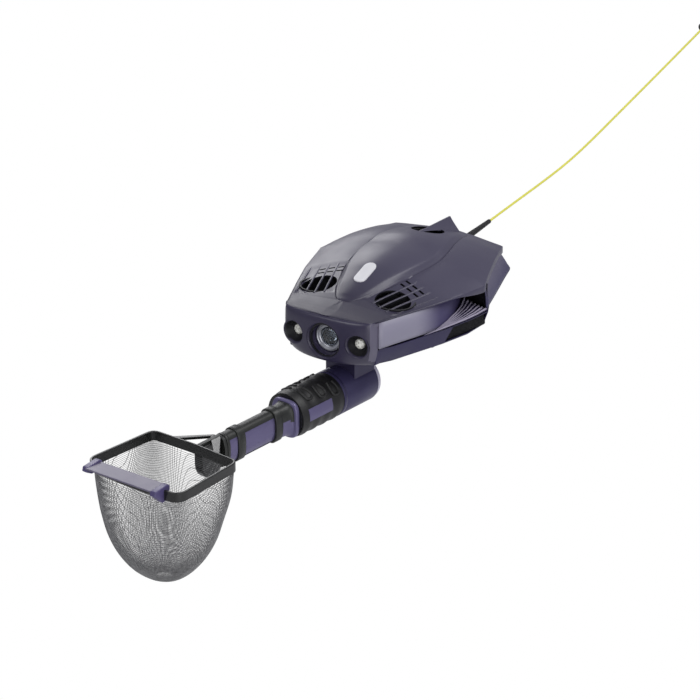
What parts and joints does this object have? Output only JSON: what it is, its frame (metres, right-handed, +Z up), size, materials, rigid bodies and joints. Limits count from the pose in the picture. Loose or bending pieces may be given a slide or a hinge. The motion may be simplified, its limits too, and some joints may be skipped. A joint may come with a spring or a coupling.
{
  "type": "underwater inspection rov",
  "caption": "Small tethered underwater inspection vehicle with ducted thrusters, lamps, a camera and a swivelling telescopic sampling arm that carries a scoop net.",
  "frame": {"origin": "middle of the hull at the height of the rim between deck shell and lower hull, the point it is held at while it hovers", "axes": "+Z up, nose towards -Y, tether towards +Y, +X to starboard seen from the nose as right"},
  "size_m": [0.1945, 1.1457, 0.2604],
  "materials": {
    "shell": "satin grey-violet moulding",
    "side": "light lilac-grey moulding",
    "hull_dark": "dark indigo moulding",
    "black": "matt black moulding",
    "rubber": "soft black grip",
    "violet": "violet anodised tube",
    "lilac": "pale lilac moulding",
    "pale": "pale grey plate",
    "glass": "clear window",
    "chrome": "mirror-bright reflector",
    "lamp": "clear lamp lens",
    "duct": "matt black duct",
    "prop": "dark propeller",
    "vessel": "hard anodised pressure vessel",
    "battery": "shrink-wrapped cells",
    "board": "coated circuit board",
    "steel": "stainless steel",
    "cord": "yellow tether jacket",
    "net": "fine woven net",
    "blade": "grey-violet blade"
  },
  "bodies": {
    "hull": {"upper_shell": "shell", "tail_fin": "shell", "badge_plate": "pale", "lower_hull": "hull_dark", "shelf_plate": "side", "side_wall_right": "side", "side_wall_left": "side", "intake_ribs_right": "side", "intake_ribs_left": "side", "rear_shroud_right": "shell", "rear_shroud_left": "shell", "stern_panel": "hull_dark", "nose_face": "hull_dark", "camera_housing": "black", "camera_lens_ring": "black", "camera_window": "glass", "lamp_reflector_left": "chrome", "lamp_reflector_right": "chrome", "lamp_lens_left": "lamp", "lamp_lens_right": "lamp", "thruster_front_left": "duct", "thruster_front_right": "duct", "thruster_rear": "duct", "thruster_side_left": "duct", "thruster_side_right": "duct", "vent_grille_left": "black", "vent_grille_right": "black", "pressure_housing": "vessel", "pressure_cap_front": "vessel", "pressure_cap_rear": "vessel", "battery_pack": "battery", "circuit_board": "board", "tether": "cord", "tether_gland": "black", "strain_relief": "rubber", "tether_plug": "black", "swivel_post": "steel"},
    "prop_front_left": {"propeller_front_left": "prop"},
    "prop_front_right": {"propeller_front_right": "prop"},
    "prop_rear": {"propeller_rear": "prop"},
    "prop_side_left": {"propeller_side_left": "prop"},
    "prop_side_right": {"propeller_side_right": "prop"},
    "arm": {"arm_bracket": "black", "arm_rear_cap": "lilac", "arm_housing": "violet", "arm_drive": "black", "grip_core": "black", "grip_sleeve": "rubber", "grip_flange": "violet", "clamp_ring_rear": "black"},
    "pole": {"arm_pole": "violet", "pole_rail_top": "black", "pole_rail_bottom": "black", "clamp_ring_front": "black"},
    "net": {"yoke_collar": "violet", "yoke_web": "black", "net_frame": "black", "mesh_bag": "net", "scraper_blade": "blade"}
  },
  "joints": [
    {"name": "spin_front_left", "type": "hinge", "parent": "hull", "child": "prop_front_left", "pos_m": [-0.04379, -0.0647, -0.01], "axis": [0, 0, 1], "continuous": true},
    {"name": "spin_front_right", "type": "hinge", "parent": "hull", "child": "prop_front_right", "pos_m": [0.04379, -0.0647, -0.01], "axis": [0, 0, 1], "continuous": true},
    {"name": "spin_rear", "type": "hinge", "parent": "hull", "child": "prop_rear", "pos_m": [0, 0.072, -0.007], "axis": [0, 0, 1], "continuous": true},
    {"name": "spin_side_left", "type": "hinge", "parent": "hull", "child": "prop_side_left", "pos_m": [-0.05, 0.06, -0.014], "axis": [0, 1, 0], "continuous": true},
    {"name": "spin_side_right", "type": "hinge", "parent": "hull", "child": "prop_side_right", "pos_m": [0.05, 0.06, -0.014], "axis": [0, 1, 0], "continuous": true},
    {"name": "arm_swivel", "type": "hinge", "parent": "hull", "child": "arm", "pos_m": [0, -0.078, -0.06], "axis": [0, 0, 1], "range_deg": [-36.7, 53.3]},
    {"name": "pole_extend", "type": "slide", "parent": "arm", "child": "pole", "axis": [-0.1444, -0.9895, 0], "range_m": [0, 0.04]},
    {"name": "net_roll", "type": "hinge", "parent": "pole", "child": "net", "pos_m": [-0.0276, -0.2672, -0.0883], "axis": [-0.1444, -0.9895, 0], "range_deg": [-90, 90]}
  ]
}
